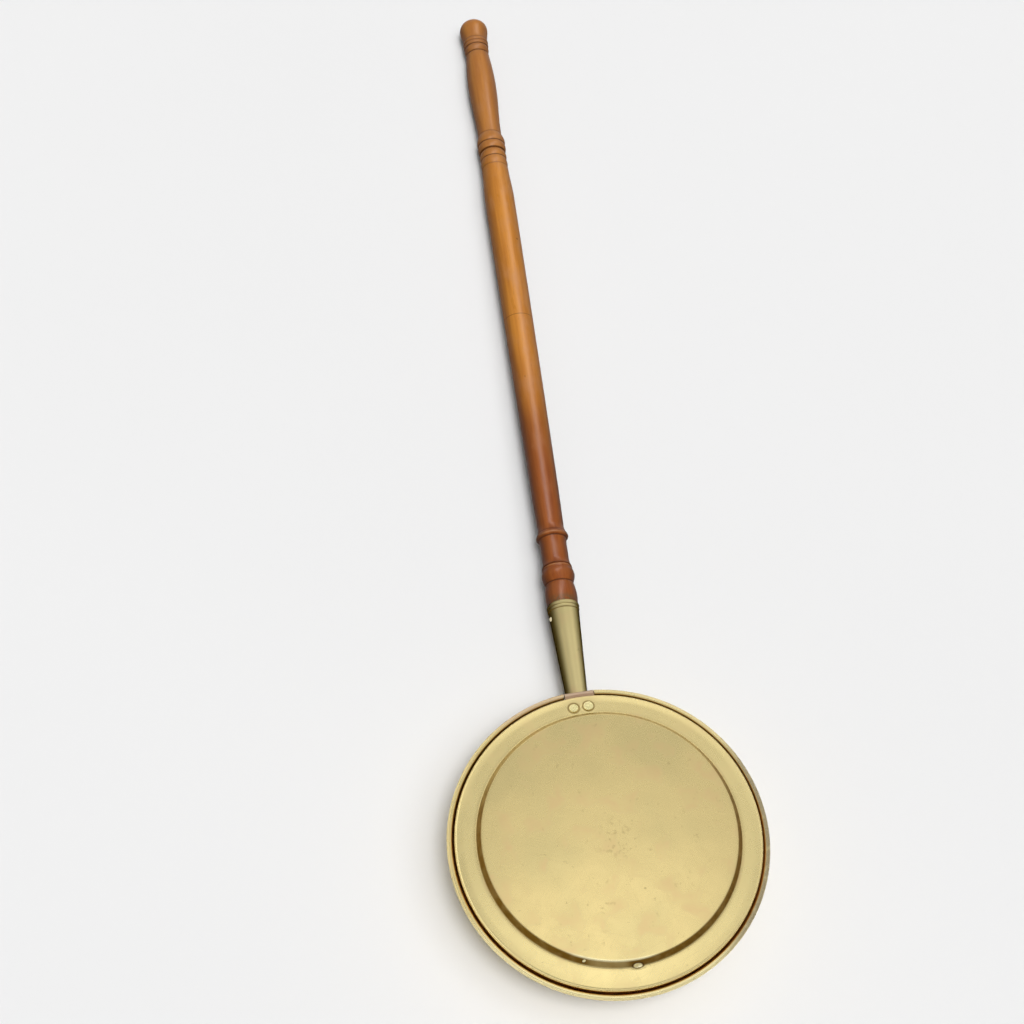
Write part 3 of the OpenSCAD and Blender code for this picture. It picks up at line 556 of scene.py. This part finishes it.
def wood(name):
    """Turned and polished fruitwood: orange brown at the grip, darker and redder near the pan."""
    net = Net(name)
    along, side, up = net.handle()
    q = net.join(side, up, along)

    def streaks(across, length, detail=2.0):
        return net.noise(net.vector("MULTIPLY", q, (1 / across, 1 / across, 1 / length)), 1.0, detail, 0.5)

    warp, wide, narrow = streaks(22.0, 110.0), streaks(7.0, 130.0), streaks(1.6, 45.0)
    patch, fine = streaks(15.0, 34.0, 3.0), streaks(0.7, 9.0)

    # 0 in the red wood near the pan, 1 in the orange wood beyond, with an uneven change
    warped = net.mul(net.math("SUBTRACT", warp, 0.5), 150.0)
    place = net.step(net.add(along, warped, net.mul(side, 1.5)), 250.0, 480.0)
    light, deep, patched = (net.mix(place, *tones) for tones in (LIGHT_WOOD, DEEP_WOOD, PATCH_WOOD))
    colour = net.mix(net.step(wide, 0.32, 0.68), light, deep)
    colour = net.mix(net.step(narrow, 0.46, 0.72, 0.0, 0.35), colour, deep)
    colour = net.mix(net.step(patch, 0.46, 0.70, 0.0, 0.55), colour, patched)
    colour = net.mix(net.step(fine, 0.62, 0.80, 0.0, 0.30), colour, PORE)

    # Hands have browned the grip, the turned rings and the knob
    rings = net.math("MAXIMUM", net.near(along, 0.5 * (COLLAR + TORUS), 32.0),
                     net.near(along, KNOB_RING, 26.0))
    handled = net.add(net.step(along, COLLAR, GRIP, 0.0, 0.36), net.mul(rings, 0.28))
    colour = net.mix(handled, colour, BROWNED)

    # Painted shade in the grooves, and grime by the ferrule
    groove_shade = None
    for grooves, strength in ((DARK_GROOVES, 0.85), (FAINT_GROOVES, 0.40)):
        for at, half in grooves:
            groove = net.mul(net.near(along, at, half), strength)
            groove_shade = groove if groove_shade is None else net.math("MAXIMUM", groove_shade, groove)
    colour = net.mix(groove_shade, colour, GROOVE_SHADE)
    # Ridge and ring painted paler: worn, and painted highlight
    worn_and_highlit = net.math("MAXIMUM", net.near(along, RIDGE - 0.2, 0.9),
                      net.mul(net.near(along, RING + 2.6, 1.8), 0.7))
    colour = net.mix(net.mul(worn_and_highlit, 0.45), colour, PALE_WOOD_HIGHLIGHT)
    grime = net.mul(net.step(along, MOUTH + 10.0, MOUTH + 1.0),
                    net.step(net.noise(net.pos, 1 / 3.0, 3.0), 0.35, 0.6, 0.3, 0.8))
    colour = net.mix(grime, colour, GRIME)
    # Joint of the two halves, and a small hole in the upper one
    hole = net.vector("DISTANCE", net.join(side, along, 0.0), (*HOLE, 0.0))
    joint = net.math("MAXIMUM", net.mul(net.near(along, JOINT, 0.7), 0.6), net.near(hole, 0.0, 1.5))
    colour = net.mix(net.mul(joint, net.step(up, 0.0, 4.0)), colour, JOINT_DIRT)
    knock = net.specks(net.vector("MULTIPLY", q, (1.0, 1.0, 0.5)), 22.0, 1.3, 3.0)
    colour = net.mix(net.mul(knock, 0.5), colour, KNOCK_DIRT)
    # Painted shade: the sides and underside are darker
    turn = net.math("ARCTAN2", side, up)
    flank_shade = net.math("MAXIMUM", net.step(turn, -0.20, -1.40),
                     net.step(turn, 0.16, 1.40, 0.0, net.step(place, 0.0, 1.0, 1.0, 0.9)))
    colour = net.mix(net.mul(flank_shade, net.step(place, 0.0, 1.0, 0.88, 0.52)), colour, WOOD_SIDE_SHADE)

    # The last of the height is the fine rings that the lathe left
    turned = net.noise(net.join(0.0, 0.0, along), 1 / 1.4, 2.0)
    height = net.add(net.mul(narrow, 0.25), net.mul(fine, 0.12), net.mul(knock, -1.2), net.mul(patch, 0.8),
                     net.mul(turned, 0.10))
    level = net.add(0.33, net.mul(net.math("SUBTRACT", patch, 0.5), 0.30), net.mul(groove_shade, 0.25),
                    net.mul(flank_shade, 0.2))
    return net.finish(Base_Color=colour, Metallic=0.0, Roughness=level, Normal=net.bump(height, 0.10),
                      Specular_IOR_Level=0.15)


def iron(name):
    net = Net(name)
    big = net.noise(net.pos, 1 / 9.0, 4.0, 0.6)
    fine = net.noise(net.pos, 1 / 0.8, 3.0, 0.6)
    colour = net.mix(net.step(big, 0.35, 0.62), (0.11, 0.095, 0.08), (0.16, 0.075, 0.035))
    colour = net.mix(net.mul(net.step(fine, 0.5, 0.8), 0.6), colour, (0.05, 0.035, 0.03))
    level = net.add(net.mul(big, 0.3), 0.42)
    height = net.add(net.mul(big, 0.5), net.mul(fine, 0.35))
    return net.finish(Base_Color=colour, Metallic=0.75, Roughness=level, Normal=net.bump(height, 0.10))


# ---------------------------------------------------------------- the lid's sheet

def on_circle(centre, radius, degrees):
    a = math.radians(degrees)
    return centre[0] + radius * math.cos(a), centre[1] + radius * math.sin(a)


def arc(centre, radius, start, end, n):
    """Points of an arc after its first one, angles in degrees."""
    return [on_circle(centre, radius, start + (end - start) * i / n) for i in range(1, n + 1)]


def line(a, b, n):
    """Points of a straight line after its first one."""
    return [(a[0] + (b[0] - a[0]) * i / n, a[1] + (b[1] - a[1]) * i / n) for i in range(1, n + 1)]


def border_z(r):
    """Height of the border's top face at a radius."""
    slope = math.radians(BORDER_SLOPE)
    return SHOULDER_Z + SHOULDER_R / math.cos(slope) + (BORDER_R - r) * math.tan(slope)


def lid_path(inset, counts):
    """The lid's outline from the skirt's edge to the panel's middle, moved into the sheet by inset.

    counts are the rows of faces on the skirt, the shoulder, the border, the bend at the riser's foot,
    the riser, the bend at its top and the crowned panel. The height of the middle comes second.
    """
    slope = math.radians(BORDER_SLOPE)
    skirt, shoulder, border, foot, side, edge, crown = counts
    foot_z = border_z(PANEL_R)
    reach = PANEL_BEND * math.tan(math.radians((PANEL_SLOPE - BORDER_SLOPE) / 2))
    centre = (PANEL_R + reach * math.cos(slope) + PANEL_BEND * math.sin(slope),
              foot_z - reach * math.sin(slope) + PANEL_BEND * math.cos(slope))
    panel_z = foot_z + PANEL_H
    crown_r = PANEL_R - PANEL_H / math.tan(math.radians(PANEL_SLOPE)) \
        - PANEL_BEND * math.tan(math.radians(PANEL_SLOPE / 2))
    crown_slope = math.degrees(math.atan(2 * PANEL_CROWN / crown_r))
    path = [(LID_R - inset, SKIRT_Z)]
    path += line(path[-1], (LID_R - inset, SHOULDER_Z), skirt)
    path += arc((BORDER_R, SHOULDER_Z), SHOULDER_R - inset, 0, 90 - BORDER_SLOPE, shoulder)
    path += line(path[-1], on_circle(centre, PANEL_BEND + inset, -90 - BORDER_SLOPE), border)
    path += arc(centre, PANEL_BEND + inset, -90 - BORDER_SLOPE, -90 - PANEL_SLOPE, foot)
    edge_centre = (crown_r, panel_z - PANEL_BEND)
    path += line(path[-1], on_circle(edge_centre, PANEL_BEND - inset, 90 - PANEL_SLOPE), side)
    path += arc(edge_centre, PANEL_BEND - inset, 90 - PANEL_SLOPE, 90 - crown_slope, edge)
    panel_r = path[-1][0]
    for i in range(1, crown):
        r = panel_r * (1 - i / crown)
        path.append((r, panel_z - inset + PANEL_CROWN * (1 - (r / crown_r) ** 2)))
    return path, panel_z - inset + PANEL_CROWN


def rivet_places():
    """Where each lid rivet stands, and its turn about the pan's axis."""
    for turn in (-RIVET_TURN, RIVET_TURN):
        a = HINGE_TURN + RIVET_SIDE + turn
        yield -RIVET_R * math.sin(a), RIVET_R * math.cos(a), a


def bell(distance, width):
    """A smooth hump: 1 at no distance, little beyond twice the width."""
    return math.exp(-(distance / width) ** 2)


def lid_lift(x, y):
    """How much the worn sheet stands off its true shape at a place, in millimetres."""
    r = math.hypot(x, y)
    p = Vector((x, y, 0))
    lift = 0.16 * noise.noise(p / 62.0 + Vector((3.1, 7.7, 0)))
    lift += 0.05 * noise.noise(p / 21.0 + Vector((9.2, 1.3, 0)))
    lift *= 0.35 + 0.65 * min(1.0, max(0.0, (142.0 - r) / 30.0))
    lift -= 0.16 * bell(r, 30.0)
    # Border drawn down towards the shoulder, most on the far side, less so over the strap
    drawn = min(1.0, max(0.0, (r - 134.0) / 10.0))
    at_hinge = bell(x + r * math.sin(HINGE_TURN), 22.0) if y > 0 else 0.0
    lift -= (0.45 + 0.35 * y / max(r, 1.0) - 0.3 * at_hinge) * drawn * drawn * (3 - 2 * drawn)
    # Dent in the panel's edge on the near side, with the lip it pushed up
    lift -= 1.5 * bell(x - DENT[0], 6.0) * bell(y - DENT[1], 2.2)
    lift += 1.5 * bell(x - DENT[0] - 2.6, 1.9) * bell(y - DENT[1] + 0.3, 1.2)
    lift += 1.3 * bell(x - DENT[0] + 2.6, 1.7) * bell(y - DENT[1] - 0.2, 1.1)
    lift -= 0.6 * bell(math.hypot(x - NICK[0], y - NICK[1]), 1.8)
    # Sheet drawn down round the rivets, with a small ridge standing between them
    places = list(rivet_places())
    for px, py, _ in places:
        lift -= 0.55 * bell(math.hypot(x - px, y - py), 6.6)
    mx, my = (places[0][0] + places[1][0]) / 2, (places[0][1] + places[1][1]) / 2
    u, v = x - mx, y - my
    lift += 0.55 * bell(u - 0.9 * math.sin(v * 0.9), 0.75) * bell(v, 3.2)
    return lift


def azimuth(x, y):
    return math.degrees(math.atan2(y, x)) % 360


def lid_columns():
    """Azimuths of the lid's columns of points, closer together by the rivets, the dent and the nick."""
    places = [(azimuth(-math.sin(HINGE_TURN), math.cos(HINGE_TURN)), 6.0, 0.22),
              (azimuth(*DENT), 4.5, 0.28), (azimuth(*NICK), 1.4, 0.35)]
    angles, a = [], 0.0
    while a < 360 - 0.1:
        angles.append(a)
        pace = 1.5
        for centre, half, fine in places:
            gap = abs(a + 0.1 - centre)
            if gap < half:
                pace = min(pace, fine)
            elif gap < half + 2:
                pace = min(pace, fine + 0.4)
        a += pace
    if 360 - angles[-1] < 0.3:
        angles.pop()
    return [math.radians(v) for v in angles]


def add_lid():
    """The lid's worn sheet, both faces and the edge of its skirt."""
    angles = lid_columns()
    n = len(angles)
    verts, faces = [], []

    def add_side(inset, counts, flip):
        path, middle_z = lid_path(inset, counts)
        first = len(verts)
        for r, z in path:
            part = min(1.0, max(0.0, (z - SKIRT_Z) / (SHOULDER_Z - SKIRT_Z)))
            for a in angles:
                x, y = r * math.cos(a), r * math.sin(a)
                verts.append((x, y, z + lid_lift(x, y) * part))
        verts.append((0.0, 0.0, middle_z + lid_lift(0.0, 0.0)))
        for ring in range(len(path) - 1):
            a, b = first + ring * n, first + (ring + 1) * n
            for k in range(n):
                quad = (a + k, a + (k + 1) % n, b + (k + 1) % n, b + k)
                faces.append(quad[::-1] if flip else quad)
        last = first + (len(path) - 1) * n
        for k in range(n):
            tri = (last + k, last + (k + 1) % n, len(verts) - 1)
            faces.append(tri[::-1] if flip else tri)
        return first

    top = add_side(0.0, TOP_ROWS, False)
    low = add_side(SHEET, UNDER_ROWS, True)
    faces.extend((top + k, low + k, low + (k + 1) % n, top + (k + 1) % n) for k in range(n))
    lid = new_object("lid_sheet", verts, faces)

    # Opening in the skirt where the strap goes under the shoulder
    size = Vector((2 * CUT_HALF, 10.0, SLOT_Z - SKIRT_Z + 2.0))
    middle = Vector((0, BORDER_R + size.y / 2, SLOT_Z - size.z / 2))
    cutter_mesh = bpy.data.meshes.new("cutter")
    shape = bmesh.new()
    bmesh.ops.create_cube(shape, size=1.0)
    bmesh.ops.transform(shape, verts=shape.verts,
                        matrix=Matrix.Rotation(HINGE_TURN, 4, "Z") @ Matrix.Translation(middle * MM)
                        @ Matrix.Diagonal((*(size * MM), 1.0)))
    shape.to_mesh(cutter_mesh)
    shape.free()
    cutter = bpy.data.objects.new("cutter", cutter_mesh)
    scene.collection.objects.link(cutter)
    cut = lid.modifiers.new("cut", "BOOLEAN")
    cut.operation, cut.solver, cut.object = "DIFFERENCE", "EXACT", cutter
    bpy.context.view_layer.update()
    mesh = bpy.data.meshes.new_from_object(lid.evaluated_get(bpy.context.evaluated_depsgraph_get()))
    lid.modifiers.clear()
    old = lid.data
    lid.data = mesh
    mesh.name = "lid_sheet"
    bpy.data.meshes.remove(old)
    bpy.data.objects.remove(cutter)
    bpy.data.meshes.remove(cutter_mesh)
    mesh.materials.clear()
    mesh.shade_smooth()
    mesh.set_sharp_from_angle(angle=math.radians(40))
    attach(lid, "lid")
    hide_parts("lid")
    return lid


def add_rivets():
    """The two hammered rivets, each with its head, shank and burred tail."""
    verts, faces = [], []
    n = 56
    for i, ((_, _, turn), (radius, height)) in enumerate(zip(rivet_places(), RIVET_HEADS)):
        tail = -(SHEET + 1.0) - 1.0
        path = [(0.0, tail), (2.2, tail), (3.1, tail + 0.25), (3.2, tail + 0.75), (2.6, tail + 0.95)]
        path += [(2.0, tail + 1.0), (2.0, -0.1), (radius - 0.2, -0.35), (radius, 0.0)]
        path += [(radius, height * 0.35), (radius - 0.18, height * 0.68), (radius - 0.5, height * 0.88)]
        path += [(radius * s, height * (1.0 - 0.10 * s * s)) for s in (0.80, 0.66, 0.52, 0.38, 0.24, 0.11)]
        path.append((0.0, height))
        place = Matrix.Rotation(turn, 4, "Z") @ Matrix.Translation((0, RIVET_R, border_z(RIVET_R))) \
            @ Matrix.Rotation(-math.radians(BORDER_SLOPE), 4, "X")
        first = len(verts)
        for r, z in path:
            for a in [0.0] if r == 0 else [2 * math.pi * k / n for k in range(n)]:
                # The head is a little out of round, and hammered uneven on top
                x, y, lift = math.cos(a), math.sin(a), 0.0
                out = r
                if z > -0.4:
                    out *= 1 + 0.05 * noise.noise(Vector((x * 1.4, y * 1.4, 4.0 + 7 * i)))
                x, y = out * x, out * y
                if z > 0.6 * height:
                    lift = 0.22 * noise.noise(Vector((x / 2.0, y / 2.0, 11.0 * i + 2.0)))
                verts.append(tuple(place @ Vector((x, y, z + lift - RIVET_SUNK))))
        at = first
        for (r0, _), (r1, _) in zip(path, path[1:]):
            if r0 == 0:
                faces += [(at, at + 1 + (k + 1) % n, at + 1 + k) for k in range(n)]
                at += 1
            elif r1 == 0:
                faces += [(at + k, at + (k + 1) % n, at + n) for k in range(n)]
            else:
                faces += [(at + k, at + (k + 1) % n, at + n + (k + 1) % n, at + n + k) for k in range(n)]
                at += n
    rivets = new_object("hammered_rivets", verts, faces, 55)
    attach(rivets, "lid")
    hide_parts("lid_rivets")
    return rivets


# ---------------------------------------------------------------- put together

def dress(obj, material):
    obj.data.materials.clear()
    obj.data.materials.append(material)


add_camera()
sweep = add_sweep()
add_light()

floor = Net("pale_floor")
pale = floor.mix(floor.step(floor.noise(floor.pos, 1 / 900.0, 2.0), 0.3, 0.7), FLOOR, FLOOR_LIGHT)
rays = floor.node("ShaderNodeLightPath").outputs
seen = floor.math("MAXIMUM", rays["Is Camera Ray"], floor.math("MAXIMUM", rays["Is Glossy Ray"],
                                                              rays["Is Transmission Ray"]))
# The wall behind gets little light from above, so it is seen a little paler than it is lit
paler = floor.mul(seen, floor.step(floor.z, 0.0, 3800.0, 0.0, 0.50))
dress(sweep, floor.finish(Base_Color=floor.mix(seen, FLOOR_BOUNCE, pale), Roughness=0.9,
                          Emission_Color=(1.0, 1.0, 1.0), Emission_Strength=paler))

lid = add_lid()
rivets = add_rivets()
dress(lid, lid_brass())
dress(rivets, brass("rivet_brass", (0.99, 0.90, 0.47), (0.95, 0.85, 0.42), 0.26, wear=0.5))

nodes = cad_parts
dress(nodes["pan_body"], pan_brass())
dress(nodes["ferrule"], ferrule_brass())
dress(nodes["ferrule_nail"], brass("nail_brass", (0.80, 0.70, 0.45), (0.72, 0.62, 0.38), 0.22))
old_brass = brass("plate_brass", (0.46, 0.36, 0.15), (0.34, 0.28, 0.12), 0.38)
for name in ("socket_plate", "socket_rivets"):
    dress(nodes[name], old_brass)
dress(nodes["hinge_strap"], strap_copper())
dark_iron = iron("dark_iron")
for name in ("rim_wire", "backing_plate"):
    dress(nodes[name], dark_iron)
for name in WOODEN:
    dress(nodes[name], wood(name + "_wood"))
